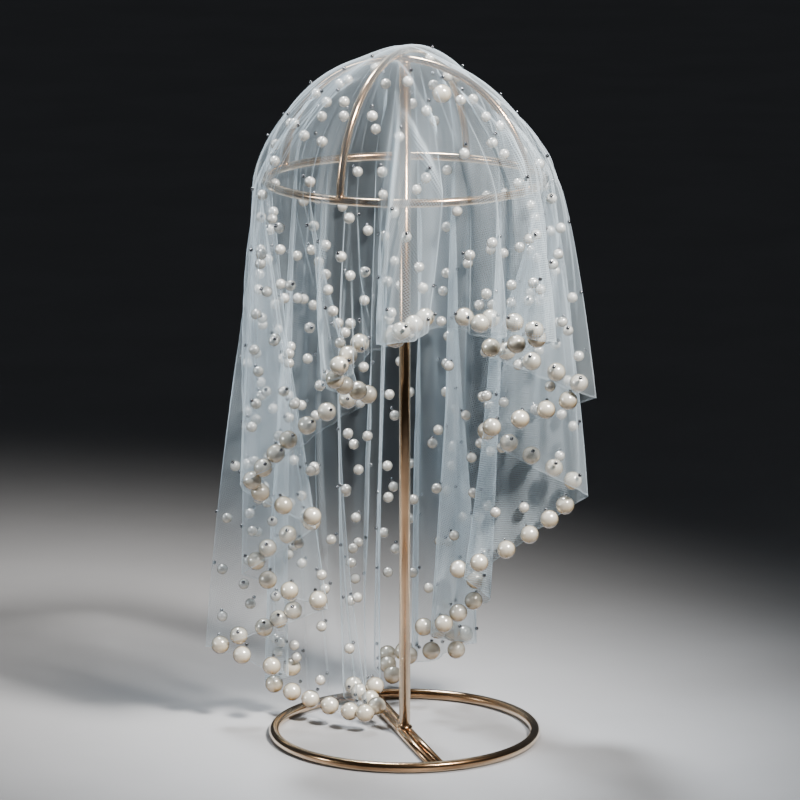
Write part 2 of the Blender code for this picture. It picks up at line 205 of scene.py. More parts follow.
def wire_hoop(name, azimuth, rise):
    """Half a ring stood on the head ring, spun about the hoop's own level axis, then eased to its rise."""
    build = bmesh.new()
    foot = math.asin(HEAD_WIRE / 2 * HOOP_SUNK / rise)
    turn = Matrix.Rotation(azimuth - math.pi / 2, 4, "Z")
    section = bmesh.ops.create_circle(
        build, cap_ends=True, segments=WIRE_SIDES, radius=HOOP_WIRE / 2,
        matrix=Matrix.Rotation(-foot, 4, "Y") @ Matrix.Translation((HEAD_RING_RADIUS, 0, 0)),
    )
    bmesh.ops.spin(
        build, geom=list(build.faces) + list(build.edges), axis=(0, -1, 0), cent=(0, 0, 0),
        angle=math.pi - 2 * foot, steps=RING_STEPS // 2, use_merge=False,
    )
    bmesh.ops.scale(build, vec=(1, 1, rise / HEAD_RING_RADIUS), verts=build.verts)
    bmesh.ops.transform(
        build, matrix=Matrix.Translation((0, 0, HEAD_RING_HEIGHT)) @ turn, verts=build.verts,
    )
    bmesh.ops.recalc_face_normals(build, faces=build.faces)
    return finish_piece(name, build, gold)


uneven_tone = make_uneven_tone()
gold = rose_gold()
base_ring_wire = wire_ring("base_ring_wire", BASE_RING_RADIUS, BASE_WIRE, BASE_WIRE / 2)
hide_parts("base_ring")
head_ring_wire = wire_ring("head_ring_wire", HEAD_RING_RADIUS, HEAD_WIRE, HEAD_RING_HEIGHT)
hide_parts("head_ring")
front_hoop_wire = wire_hoop("front_hoop_wire", FRONT_HOOP_AZIMUTH, HOOP_RISE)
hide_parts("front_hoop")
side_hoop_wire = wire_hoop("side_hoop_wire", SIDE_HOOP_AZIMUTH, HOOP_RISE - HOOP_WIRE)
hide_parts("side_hoop")

# The base bar: two rods side by side across the base ring, brazed to its inside.
build = bmesh.new()
for side in (-1, 1):
    offset = Matrix.Rotation(BAR_AZIMUTH, 4, "Z")
    offset = offset @ Matrix.Translation((side * BAR_SPACING / 2, 0, BAR_ROD / 2))
    bmesh.ops.create_cone(
        build, cap_ends=True, segments=WIRE_SIDES, radius1=BAR_ROD / 2, radius2=BAR_ROD / 2,
        depth=2 * BASE_RING_RADIUS - BASE_WIRE, matrix=offset @ Matrix.Rotation(math.pi / 2, 4, "X"),
    )
base_bar_rods = finish_piece("base_bar_rods", build, gold)
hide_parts("base_bar")

# The post: one straight rod from the bar to the underside of the two hoops.
post_top = HEAD_RING_HEIGHT + HOOP_RISE - HOOP_WIRE * 1.5
build = bmesh.new()
bmesh.ops.create_cone(
    build, cap_ends=True, segments=POST_SIDES, radius1=POST_DIAMETER / 2, radius2=POST_DIAMETER / 2,
    depth=post_top - BAR_ROD, matrix=Matrix.Translation((0, 0, (post_top + BAR_ROD) / 2)),
)
post_rod = finish_piece("post_rod", build, gold)
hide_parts("post")

# Brazing: a small drop of metal at each place where two wires meet.
drops = [(Vector((0, 0, BAR_ROD)), DROP_ON_BAR), (Vector((0, 0, post_top)), DROP_ON_POST)]
for azimuth in (FRONT_HOOP_AZIMUTH, SIDE_HOOP_AZIMUTH):
    for side in (1, -1):
        foot = direction(azimuth) * (side * HEAD_RING_RADIUS)
        drops.append((foot + Vector((0, 0, HEAD_RING_HEIGHT + HEAD_WIRE * DROP_LIFT)), DROP_ON_HEAD_RING))
for side in (1, -1):
    end = direction(BAR_AZIMUTH) * (side * (BASE_RING_RADIUS - BASE_WIRE / 2))
    drops.append((end + Vector((0, 0, BAR_ROD / 2)), DROP_ON_BASE_RING))
squash = Matrix.Diagonal((1.0, 1.0, DROP_SQUASH, 1.0))
build = bmesh.new()
for place, radius in drops:
    bmesh.ops.create_icosphere(
        build, subdivisions=DROP_ROUNDNESS, radius=radius, matrix=Matrix.Translation(place) @ squash,
    )
finish_piece("brazed_joints", build, gold)


# ---- Veil: one round of white tulle ----
# A 60 cm round of fine soft net with a raw cut edge, laid off centre over the hoops, so it hangs short
# at the front right and almost to the table at the back left. Nothing is sewn but its pearls.
CLOTH_RADIUS = 0.300
CROWN_OFFSET = 0.115  # from the crown to the round's own middle
SHORT_SIDE = math.radians(20.0)  # azimuth at which the veil hangs shortest
CROWN_REACH = 0.0756  # from the post to the cloth on the head ring
CROWN_RISE = 0.0697  # from the head ring to the cloth on the front hoop
RUN_TO_RING = 0.116  # cloth between the crown and the head ring; below it the veil hangs free
CROWN_POINT = 1e-5  # least run, so that the crown itself has an azimuth
CROWN_TOP = 0.030  # run over which the cloth comes down from the front hoop to the side hoop
TURN_FROM = 0.050  # run at which a fold line starts to leave its flat azimuth
STAND_OFF_FROM = 0.065  # run at which a fold line starts to lift off the hoops
HANG = 0.985  # fall in height to the length of cloth below the ring
LOBE = 1.0  # how fully crests and valleys round out
LOBE_LIMIT = math.radians(17)
FOLD_DEPTH = 0.030  # difference in reach at which a fold's flank runs straight
CREST_BOW = 0.72  # below 1, a crest stands out soon below the ring
VALLEY_BOW = 1.1
CREST_WIDTH = 0.14  # how much wider crests are than valleys
FOLD_STEPS = 12  # steps in which the cloth's length across a flank is measured
NET_COLUMNS = 800
NET_ROWS = 120

# Gathers too fine for the fold lines: soft ripples in the mesh, and the net's density.
RIPPLES = 74  # once round the cloth
RIPPLE = 0.0011
RIPPLE_FROM = 0.030
RIPPLE_FULL = 0.240
RIPPLE_WANDER = (0.8, 9)  # how far the ripples wander sideways, and how often round the cloth
RIPPLE_JOSTLE = (0.5, 23, 11)  # the same, for a smaller wander that also turns down the cloth
FINE_RIPPLE = (0.5, 1.7)  # height and number of the finer ripples, beside the others
CROWN_DENSITY = 0.62
GATHERED_FROM = 0.4 * RUN_TO_RING
CREASE_WHITENING = 700.0  # added share of density to the metre of crease height
CREASE_TAPER = 0.6  # below 1, a crease keeps its height for most of its length
MOST_BUNCHED = 4.0

# The net: how much of what is behind its threads, its haze and its raw edge hide.
NET_SCALE = 850.0  # meshes to the metre
THREAD_EDGE = (0.08, 0.20)  # from a thread's middle to its edge, in meshes
THREAD_COVER = 0.09
HAZE_COVER = 0.05
EDGE_ON_COVER = 0.9
EDGE_ON_POWER = 4.2
RAW_EDGE = 0.0014
RAW_EDGE_COVER = 0.22
LET_THROUGH = 0.42  # share of the light on a thread that goes through it
NET_CLOUDS = 14.0  # to the metre
NET_SHADE = (0.69, 0.83, 0.93, 1.0)
NET_LIGHT = (0.83, 0.925, 0.99, 1.0)

# Fold lines down the cloth: flat and hanging azimuth in degrees, mm clear of the ring, mm from the post.
FOLDS = (
    (-180, -176, 5, 102),
    (-172, -161, 0, 52),
    (-165, -155, 3, 68),
    (-157, -118, 0, 22),
    (-141, -122, 4, 86),
    (-130, -112, 0, 68),
    (-120, -104, 4, 109),
    (-107, -112, 0, 44),
    (-97, -97, 3, 86),
    (-83, -84, 0, 48),
    (-68, -69, 5, 91),
    (-46, -46, 0, 32),
    (-25, -25, 5, 85),
    (-14, -15, 0, 48),
    (7, -5, 6, 85),
    (20, 21, 0, 56),
    (30, 33, 5, 87),
    (37, 43, 0, 66),
    (46, 55, 5, 91),
    (67, 71, 0, 48),
    (83, 79, 4, 100),
    (99, 90, 0, 40),
    (117, 100, 4, 98),
    (138, 118, 0, 38),
    (149, 134, 3, 60),
    (157, 158, 0, 34),
    (167, 152, 4, 82),
    (172, 168, 0, 60),
)

# How densely the net's finest gathers lie below the ring: flat azimuth in degrees, share of an even net.
GATHERS = (
    (-180, 0.5),
    (-162, 0.5),
    (-141, 1.0),
    (-107, 1.1),
    (-68, 1.2),
    (-46, 0.8),
    (-36, 0.6),
    (-34, 2.0),
    (-29, 2.0),
    (-27, 0.4),
    (-12, 0.4),
    (-6, 2.2),
    (10, 3.0),
    (20, 1.3),
    (33, 2.2),
    (46, 2.8),
    (67, 1.6),
    (83, 1.5),
    (99, 1.0),
    (117, 1.8),
    (138, 2.2),
    (158, 2.6),
    (169, 3.4),
    (175, 2.6),
    (178, 0.6),
    (180, 0.5),
)

# Creases of the soft net: flat azimuth in degrees and run in mm at one end and at the other, then
# height and half width in mm.
CREASES = (
    (-92, 54, -63, 100, 2.2, 3.0),
    (-30, 44, -55, 96, 1.8, 3.0),
    (-6, 52, 0, 142, 3.2, 1.8),
    (-2, 64, 15, 114, 2.8, 2.2),
    (-16, 26, 8, 58, 2.0, 2.6),
    (6, 54, 18, 84, 1.8, 2.4),
    (36, 48, 48, 88, 2.0, 2.4),
    (33, 44, 16, 66, 1.4, 2.6),
    (52, 68, 46, 116, 2.8, 2.2),
    (54, 70, 66, 122, 2.2, 2.4),
    (-31, 108, -30, 196, 2.6, 1.8),
    (-20, 150, -13, 206, 1.6, 1.6),
    (-75, 126, -71, 238, 2.4, 2.2),
    (-89, 116, -91, 205, 1.8, 2.0),
    (-101, 140, -97, 276, 2.4, 2.4),
    (100, 50, 84, 108, 2.0, 3.0),
    (93, 122, 97, 230, 2.2, 2.0),
    (110, 134, 107, 246, 2.0, 2.2),
    (128, 60, 140, 116, 2.2, 3.0),
    (143, 130, 147, 284, 2.2, 2.2),
    (166, 46, 158, 112, 1.8, 2.8),
    (162, 150, 164, 306, 2.0, 2.4),
    (176, 138, 173, 330, 2.2, 2.4),
    (-172, 150, -169, 352, 2.4, 2.4),
    (-160, 52, -172, 108, 2.0, 3.0),
    (-151, 140, -153, 344, 2.2, 2.6),
    (-132, 148, -136, 332, 2.4, 2.4),
    (-128, 56, -118, 112, 1.8, 3.0),
)

# Spans between the hoops' feet, in degrees, and the share of its radius that the cloth sags there.
SPANS = (
    (-119.5, -27.0, 0.28),
    (-27.0, 60.5, 0.26),
    (60.5, 153.0, 0.46),
    (153.0, 240.5, 0.30),
)


def smooth_step(low, high, value):
    """From 0 at low to 1 at high, easing at both ends."""
    x = min(1.0, max(0.0, (value - low) / (high - low)))
    return x * x * (3 - 2 * x)


def run_to_hem(flat):
    """Length of cloth from the crown to the raw edge at a flat azimuth."""
    across = CROWN_OFFSET * math.sin(flat - SHORT_SIDE)
    return -CROWN_OFFSET * math.cos(flat - SHORT_SIDE) + math.sqrt(CLOTH_RADIUS ** 2 - across ** 2)


def sag_at(azimuth):
    """Share of its radius that the crown sags at an azimuth: none on a hoop, most between two."""
    degrees = math.degrees(azimuth)
    for start, end, sag in SPANS:
        share = ((degrees - start) % 360) / (end - start)
        if share < 1:
            return sag * math.sin(math.pi * share) ** 2
    return 0.0


LINES = [
    {
        "flat": math.radians(flat),
        "hang": math.radians(hang),
        "stand_off": stand_off / 1000,
        "reach": reach / 1000,
        "hem": run_to_hem(math.radians(flat)),
    }
    for flat, hang, stand_off, reach in FOLDS
]


def line_place(line, run):
    """Azimuth of a fold line at this run, its stand-off on the crown and its radius below the ring."""
    turned = smooth_step(TURN_FROM, line["hem"], run)
    azimuth = line["flat"] + (line["hang"] - line["flat"]) * turned
    stand_off = line["stand_off"] * smooth_step(STAND_OFF_FROM, RUN_TO_RING, run)
    at_ring = CROWN_REACH + line["stand_off"]
    fall = max(0.0, run - RUN_TO_RING) / (line["hem"] - RUN_TO_RING)
    bow = CREST_BOW if line["reach"] > at_ring else VALLEY_BOW
    return azimuth, stand_off, at_ring + (line["reach"] - at_ring) * fall ** bow


def fold_curve(left, right, wrap, share, run):
    """Azimuth, stand-off and radius at a share of the way between two fold lines."""
    left_azimuth, left_off, left_radius = line_place(left, run)
    right_azimuth, right_off, right_radius = line_place(right, run)
    spread = right_azimuth + wrap - left_azimuth
    crest = CREST_WIDTH if left["reach"] > right["reach"] else -CREST_WIDTH
    blend = (1 - math.cos(math.pi * share)) / 2
    across = share + LOBE * math.sin(2 * math.pi * share) / (2 * math.pi)
    across += crest * math.sin(math.pi * share) ** 2
    chord_x = left_radius * (1 - blend) + right_radius * blend * math.cos(spread)
    chord_y = right_radius * blend * math.sin(spread)
    straight = smooth_step(0.0, FOLD_DEPTH, abs(left_radius - right_radius))
    azimuth = left_azimuth + spread * blend * (1 - straight) + math.atan2(chord_y, chord_x) * straight
    azimuth += (across - blend) * min(LOBE_LIMIT, abs(spread))
    off = left_off + (right_off - left_off) * blend
    return azimuth, off, left_radius + (right_radius - left_radius) * blend


def even_share(left, right, wrap, share, run):
    """The share along the fold curve at which this share of its length is used up."""
    points = []
    for step in range(FOLD_STEPS + 1):
        azimuth, off, radius = fold_curve(left, right, wrap, step / FOLD_STEPS, run)
        points.append((radius * math.sin(azimuth), radius * math.cos(azimuth)))
    lengths = [0.0]
    for here, there in zip(points, points[1:]):
        lengths.append(lengths[-1] + math.dist(here, there))
    wanted = share * lengths[-1]
    for n in range(FOLD_STEPS):
        if wanted <= lengths[n + 1]:
            return (n + (wanted - lengths[n]) / (lengths[n + 1] - lengths[n])) / FOLD_STEPS
    return 1.0


def drape(flat, run):
    """Where the point of the cloth at this flat azimuth and run hangs."""
    flat = (flat - LINES[0]["flat"]) % (2 * math.pi) + LINES[0]["flat"]
    index = max(n for n, line in enumerate(LINES) if line["flat"] <= flat)
    left = LINES[index]
    right = LINES[(index + 1) % len(LINES)]
    wrap = 2 * math.pi if index + 1 == len(LINES) else 0.0
    share = (flat - left["flat"]) / (right["flat"] + wrap - left["flat"])
    share = even_share(left, right, wrap, share, run)
    azimuth, off, radius = fold_curve(left, right, wrap, share, run)
    if run < RUN_TO_RING:
        tilt = math.pi / 2 * run / RUN_TO_RING
        flatten = 1 - sag_at(azimuth) * math.cos(tilt)
        radius = (CROWN_REACH * flatten + off) * math.sin(tilt)
        off_the_ridge = math.sin(azimuth - FRONT_HOOP_AZIMUTH) ** 2
        rise = CROWN_RISE - HOOP_WIRE * off_the_ridge * smooth_step(0.0, CROWN_TOP, run)
        height = HEAD_RING_HEIGHT + (rise + off) * math.cos(tilt)
    else:
        height = HEAD_RING_HEIGHT - HANG * (run - RUN_TO_RING)
    return direction(azimuth) * radius + Vector((0, 0, height))


def ripple(flat, run):
    """Height of the soft narrow gathers that the net falls into between its large folds."""
    grown = smooth_step(RIPPLE_FROM, RIPPLE_FULL, run) * RIPPLE
    wander = RIPPLE_WANDER[0] * math.sin(RIPPLE_WANDER[1] * flat)
    wander += RIPPLE_JOSTLE[0] * math.sin(RIPPLE_JOSTLE[1] * flat + RIPPLE_JOSTLE[2] * run)
    wide = math.sin(RIPPLES * flat + wander)
    fine = math.sin(FINE_RIPPLE[1] * RIPPLES * flat - 2 * wander)
    return grown * (wide + FINE_RIPPLE[0] * fine)


def on_the_flat(azimuth, run):
    """Place on the cloth laid flat, with the crown at the origin."""
    return direction(azimuth) * run


CREASE_LINES = [
    (
        on_the_flat(math.radians(from_azimuth), from_run / 1000),
        on_the_flat(math.radians(to_azimuth), to_run / 1000),
        height / 1000,
        width / 1000,
    )
    for from_azimuth, from_run, to_azimuth, to_run, height, width in CREASES
]


def crease(flat, run):
    """Height of the soft ridges that the net was pressed and pulled into."""
    place = on_the_flat(flat, run)
    total = 0.0
    for start, end, height, width in CREASE_LINES:
        line = end - start
        share = (place - start).dot(line) / line.length_squared
        if 0 < share < 1:
            off = (start + line * share - place).length / width
            total += height * math.sin(math.pi * share) ** CREASE_TAPER * math.exp(-off * off)
    return total


def density(flat, run):
    """How densely the net lies here, from its finest gathers."""
    degrees = (math.degrees(flat) + 180) % 360 - 180
    for (start, low), (end, high) in zip(GATHERS, GATHERS[1:]):
        if degrees <= end:
            gathers = low + (high - low) * smooth_step(start, end, degrees)
            break
    hung = smooth_step(GATHERED_FROM, RUN_TO_RING, run)
    even = CROWN_DENSITY + (gathers - CROWN_DENSITY) * hung
    return even * (1 + CREASE_WHITENING * crease(flat, run))


def white_tulle():
    """Net of fine white threads on a diamond mesh: light passes it, and it whitens seen edge on."""
    material = bpy.data.materials.new("white tulle")
    material.use_nodes = True
    nodes = material.node_tree.nodes
    links = material.node_tree.links
    nodes.remove(nodes["Principled BSDF"])
    flat = nodes.new("ShaderNodeUVMap")
    flat.uv_map = "flat"
    mesh = nodes.new("ShaderNodeMapping")
    mesh.inputs["Rotation"].default_value = (0, 0, math.radians(45))
    mesh.inputs["Scale"].default_value = (NET_SCALE, NET_SCALE, 1)
    links.new(flat.outputs["UV"], mesh.inputs["Vector"])
    parts = nodes.new("ShaderNodeSeparateXYZ")
    links.new(mesh.outputs["Vector"], parts.inputs["Vector"])
    threads = []
    for axis in ("X", "Y"):
        wave = nodes.new("ShaderNodeMath")
        wave.operation = "PINGPONG"
        wave.inputs[1].default_value = 0.5
        links.new(parts.outputs[axis], wave.inputs[0])
        thread = nodes.new("ShaderNodeMapRange")
        thread.interpolation_type = "SMOOTHSTEP"
        thread.inputs["From Min"].default_value = THREAD_EDGE[0]
        thread.inputs["From Max"].default_value = THREAD_EDGE[1]
        thread.inputs["To Min"].default_value = 1.0
        thread.inputs["To Max"].default_value = 0.0
        links.new(wave.outputs[0], thread.inputs["Value"])
        threads.append(thread)
    net = nodes.new("ShaderNodeMath")
    net.operation = "MAXIMUM"
    links.new(threads[0].outputs["Result"], net.inputs[0])
    links.new(threads[1].outputs["Result"], net.inputs[1])
    cover = nodes.new("ShaderNodeMath")
    cover.operation = "MULTIPLY_ADD"
    cover.inputs[1].default_value = THREAD_COVER
    cover.inputs[2].default_value = HAZE_COVER
    links.new(net.outputs[0], cover.inputs[0])
    gather = nodes.new("ShaderNodeAttribute")
    gather.attribute_name = "gather"
    dense = nodes.new("ShaderNodeMath")
    dense.operation = "MULTIPLY"
    links.new(cover.outputs[0], dense.inputs[0])
    links.new(gather.outputs["Fac"], dense.inputs[1])
    from_middle = nodes.new("ShaderNodeVectorMath")
    from_middle.operation = "DISTANCE"
    from_middle.inputs[1].default_value = direction(SHORT_SIDE) * -CROWN_OFFSET
    links.new(flat.outputs["UV"], from_middle.inputs[0])
    raw_edge = nodes.new("ShaderNodeMapRange")
    raw_edge.inputs["From Min"].default_value = CLOTH_RADIUS - RAW_EDGE
    raw_edge.inputs["From Max"].default_value = CLOTH_RADIUS
    raw_edge.inputs["To Max"].default_value = RAW_EDGE_COVER
    links.new(from_middle.outputs["Value"], raw_edge.inputs["Value"])
    edged = nodes.new("ShaderNodeMath")
    edged.operation = "ADD"
    links.new(dense.outputs[0], edged.inputs[0])
    links.new(raw_edge.outputs["Result"], edged.inputs[1])
    facing = nodes.new("ShaderNodeLayerWeight")
    facing.inputs["Blend"].default_value = 0.5
    edge_on = nodes.new("ShaderNodeMath")
    edge_on.operation = "POWER"
    edge_on.inputs[1].default_value = EDGE_ON_POWER
    links.new(facing.outputs["Facing"], edge_on.inputs[0])
    whole = nodes.new("ShaderNodeMath")
    whole.operation = "MULTIPLY_ADD"
    whole.use_clamp = True
    whole.inputs[1].default_value = EDGE_ON_COVER
    links.new(edge_on.outputs[0], whole.inputs[0])
    links.new(edged.outputs[0], whole.inputs[2])
    cloud = nodes.new("ShaderNodeTexNoise")
    cloud.inputs["Scale"].default_value = NET_CLOUDS
    links.new(flat.outputs["UV"], cloud.inputs["Vector"])
    tone = nodes.new("ShaderNodeValToRGB")
    tone.color_ramp.elements[0].color = NET_SHADE
    tone.color_ramp.elements[1].color = NET_LIGHT
    links.new(cloud.outputs["Fac"], tone.inputs["Fac"])
    front = nodes.new("ShaderNodeBsdfDiffuse")
    through = nodes.new("ShaderNodeBsdfTranslucent")
    fibre = nodes.new("ShaderNodeMixShader")
    fibre.inputs["Fac"].default_value = LET_THROUGH
    links.new(tone.outputs["Color"], front.inputs["Color"])
    links.new(tone.outputs["Color"], through.inputs["Color"])
    links.new(front.outputs["BSDF"], fibre.inputs[1])
    links.new(through.outputs["BSDF"], fibre.inputs[2])
    open_mesh = nodes.new("ShaderNodeBsdfTransparent")
    tulle_mix = nodes.new("ShaderNodeMixShader")
    links.new(whole.outputs[0], tulle_mix.inputs["Fac"])
    links.new(open_mesh.outputs["BSDF"], tulle_mix.inputs[1])
    links.new(fibre.outputs["Shader"], tulle_mix.inputs[2])
    links.new(tulle_mix.outputs["Shader"], nodes["Material Output"].inputs["Surface"])
    return material


tulle = white_tulle()

# The flat round, spun from one spoke of net, each place then hung by drape().
build = bmesh.new()
gather = build.verts.layers.float.new("gather")
spoke = [build.verts.new((0, -n / NET_ROWS, 0)) for n in range(1, NET_ROWS + 1)]
thread = [build.edges.new(pair) for pair in zip(spoke, spoke[1:])]
bmesh.ops.spin(
    build, geom=thread, axis=(0, 0, 1), cent=(0, 0, 0), angle=2 * math.pi, steps=NET_COLUMNS, use_merge=True,
)
inner = [edge for edge in build.edges if edge.is_boundary and edge.verts[0].co.length < 1.5 / NET_ROWS]
tip = build.verts.new((0, 0, 0))
for edge in inner:
    build.faces.new((edge.verts[0], edge.verts[1], tip))
flat_place = build.loops.layers.uv.new("flat")
places = {}
for vert in build.verts:
    share = vert.co.length
    azimuth = math.atan2(vert.co.x, -vert.co.y)
    run = max(CROWN_POINT, share * run_to_hem(azimuth))
    places[vert] = (run * math.sin(azimuth), -run * math.cos(azimuth))
    vert.co = drape(azimuth, run)
for face in build.faces:
    for loop in face.loops:
        loop[flat_place].uv = places[loop.vert]
bmesh.ops.recalc_face_normals(build, faces=build.faces)
build.normal_update()

# Ripples and creases lift the net along its own normals, and it lies denser where the drape bunches it.
outer = {vert: vert.normal.copy() for vert in build.verts}
bunched = {}
for face in build.faces:
    laid = [Vector(places[vert]) for vert in face.verts]
    flat_area = abs(sum(here.cross(there) for here, there in zip(laid, laid[1:] + laid[:1]))) / 2
    bunched[face] = min(MOST_BUNCHED, flat_area / max(face.calc_area(), 1e-9))
for vert, (x, y) in places.items():
    azimuth = math.atan2(x, -y)
    run = math.hypot(x, y)
    around = sum(bunched[face] for face in vert.link_faces) / len(vert.link_faces)
    vert[gather] = around * density(azimuth, run)
    vert.co += outer[vert] * (ripple(azimuth, run) + crease(azimuth, run))
veil = finish_piece("veil_tulle", build, tulle)
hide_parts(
    "veil_crown", "veil_fall_left_back", "veil_fall_left_front", "veil_fall_front",
    "veil_fall_right_front", "veil_fall_right_back", "veil_fall_back",
)


# ---- Pearls ----
# Cream-white glass pearls on the inside of the net: large ones all along the raw edge, and small ones
# over the whole round on a staggered grid. Each is held through the net by a stud.
HEM_PEARL = 0.010
HEM_PEARL_INSET = 0.007
HEM_PEARL_PITCH = 0.0140
HEM_ROUNDNESS = 3
FIELD_PEARL = 0.006
FIELD_PITCH = 0.038
FIELD_JITTER = 0.0040
FIELD_INSET = 0.016  # the small pearls keep this far inside the raw edge
FIELD_NEAREST = 0.004  # and this far from the crown
FIELD_CHANCE = 7  # seed of their unevenness
FIELD_ROUNDNESS = 2
STUD = 0.0023
STUD_PROUD = 0.35  # how far its middle stands off the net, in its diameters
PEARL_DROOP = 0.5  # how far a pearl hangs below the place where the net holds it, in its radii
STUD_RISE = 0.3  # how far above that place its stud sits, in its radii
PEARL_TOUCH = 0.9  # pearls press this close together, in their own spacing
HEM_NUDGES = (0, 1.1, -1.1, 2.2, -2.2)  # degrees round the edge that a large pearl may sit off its place
HOOP_PLACES = 60  # places along a hoop where a pearl's room is measured

PEARL_CLOUDS = 70.0  # to the metre
# Each pearl tone: two colours of soft patches, a golden brown painted in as a reflection on the underside,
# and a darker tone painted in as shade towards the edge.
CREAM_SHADE = (0.88, 0.82, 0.68, 1.0)
CREAM_LIGHT = (0.98, 0.95, 0.86, 1.0)
CREAM_PAINTED_REFLECTION = (0.42, 0.27, 0.09, 1.0)
CREAM_PAINTED_RIM_SHADE = (0.40, 0.34, 0.24, 1.0)
WHITE_SHADE = (0.88, 0.86, 0.80, 1.0)
WHITE_LIGHT = (0.97, 0.96, 0.93, 1.0)
WHITE_PAINTED_REFLECTION = (0.44, 0.36, 0.24, 1.0)
WHITE_PAINTED_RIM_SHADE = (0.43, 0.42, 0.39, 1.0)

# Large pearls strayed over the crown and the front: flat azimuth in degrees, run in mm.
STRAYS = (
    (35, 42),
    (-30, 108),
    (26, 110),
    (-121, 92),
    (150, 74),
)


def outward(flat, run):
    """Unit normal of the draped cloth, away from the stand."""
    step = 0.0012
    down = drape(flat, run + step) - drape(flat, max(CROWN_POINT, run - step))
    turn = step / max(run, FIELD_NEAREST)
    around = drape(flat + turn, run) - drape(flat - turn, run)
    return around.cross(-down).normalized()


def clear_of_stand(centre, radius):
    """Whether a pearl here keeps off the post, the head ring and the hoops."""
    level = Vector((centre.x, centre.y, 0))
    if level.length < radius + POST_DIAMETER / 2 and centre.z < post_top:
        return False
    ring = level.normalized() * HEAD_RING_RADIUS + Vector((0, 0, HEAD_RING_HEIGHT))
    if (centre - ring).length < radius + HEAD_WIRE / 2:
        return False
    for azimuth, rise in ((FRONT_HOOP_AZIMUTH, HOOP_RISE), (SIDE_HOOP_AZIMUTH, HOOP_RISE - HOOP_WIRE)):
        for n in range(HOOP_PLACES + 1):
            turn = math.pi * n / HOOP_PLACES
            point = direction(azimuth) * (HEAD_RING_RADIUS * math.cos(turn))
            point.z = HEAD_RING_HEIGHT + rise * math.sin(turn)
            if (centre - point).length < radius + HOOP_WIRE / 2:
                return False
    return True


def pearl_lustre(name, shade, light, painted_reflection_tone, painted_rim_shade):
    """Pearl lustre: cream-white under a clear coat, with a golden-brown reflection painted in where a pearl
    faces down and painted shade darkening it towards its edge.
    """
    material, tree, shader, place = start_material(name)
    nodes = tree.nodes
    links = tree.links
    shader.inputs["Metallic"].default_value = 0.15
    shader.inputs["Roughness"].default_value = 0.22
    shader.inputs["Coat Weight"].default_value = 1.0
    shader.inputs["Coat Roughness"].default_value = 0.14
    shader.inputs["Coat IOR"].default_value = 1.9
    shader.inputs["Specular IOR Level"].default_value = 0.8
    uneven = add_uneven_tone(tree, place, PEARL_CLOUDS, shade, light)
    # Painted reflection: towards the bottom the colour turns golden brown, a warm surrounding painted into
    # the pearl.
    surface = nodes.new("ShaderNodeNewGeometry")
    facing = nodes.new("ShaderNodeSeparateXYZ")
    links.new(surface.outputs["Normal"], facing.inputs["Vector"])
    under = nodes.new("ShaderNodeMapRange")
    under.interpolation_type = "SMOOTHSTEP"
    under.inputs["From Min"].default_value = -0.65
    under.inputs["From Max"].default_value = 0.60
    under.inputs["To Min"].default_value = 0.95
    under.inputs["To Max"].default_value = 0.0
    links.new(facing.outputs["Z"], under.inputs["Value"])
    tone_and_painted_reflection = nodes.new("ShaderNodeMix")
    tone_and_painted_reflection.data_type = "RGBA"
    tone_and_painted_reflection.inputs[7].default_value = painted_reflection_tone
    links.new(under.outputs["Result"], tone_and_painted_reflection.inputs["Factor"])
    links.new(uneven.outputs["Tone"], tone_and_painted_reflection.inputs[6])
    # Painted shade: the colour is multiplied darker towards the edge, where the pearl turns away from the
    # eye.
    painted_rim = nodes.new("ShaderNodeLayerWeight")
    painted_rim.inputs["Blend"].default_value = 0.5
    painted_rim_shade_share = nodes.new("ShaderNodeMapRange")
    painted_rim_shade_share.interpolation_type = "SMOOTHSTEP"
    painted_rim_shade_share.inputs["From Min"].default_value = 0.10
    painted_rim_shade_share.inputs["From Max"].default_value = 0.85
    painted_rim_shade_share.inputs["To Max"].default_value = 0.85
    links.new(painted_rim.outputs["Facing"], painted_rim_shade_share.inputs["Value"])
    depth = nodes.new("ShaderNodeMix")
    depth.data_type = "RGBA"
    depth.blend_type = "MULTIPLY"
    depth.inputs[7].default_value = painted_rim_shade
    links.new(painted_rim_shade_share.outputs["Result"], depth.inputs["Factor"])
    links.new(tone_and_painted_reflection.outputs[2], depth.inputs[6])
    links.new(depth.outputs[2], shader.inputs["Base Color"])
    return material


def hem_places():
    """Flat azimuth and run of each hem pearl, evenly spaced down each side of each fold."""
    places = []
    for n, line in enumerate(LINES):
        after = LINES[(n + 1) % len(LINES)]["flat"] + (2 * math.pi if n + 1 == len(LINES) else 0.0)
        span = after - line["flat"]
        steps = [line["flat"] + span * k / FOLD_STEPS for k in range(FOLD_STEPS + 1)]
        points = [drape(flat, run_to_hem(flat)) for flat in steps]
        length = sum((there - here).length for here, there in zip(points, points[1:]))
        count = max(1, round(length / HEM_PEARL_PITCH))
        for k in range(count):
            flat = line["flat"] + span * (k + 0.5) / count
            places.append((flat, run_to_hem(flat) - HEM_PEARL_INSET))
    return places


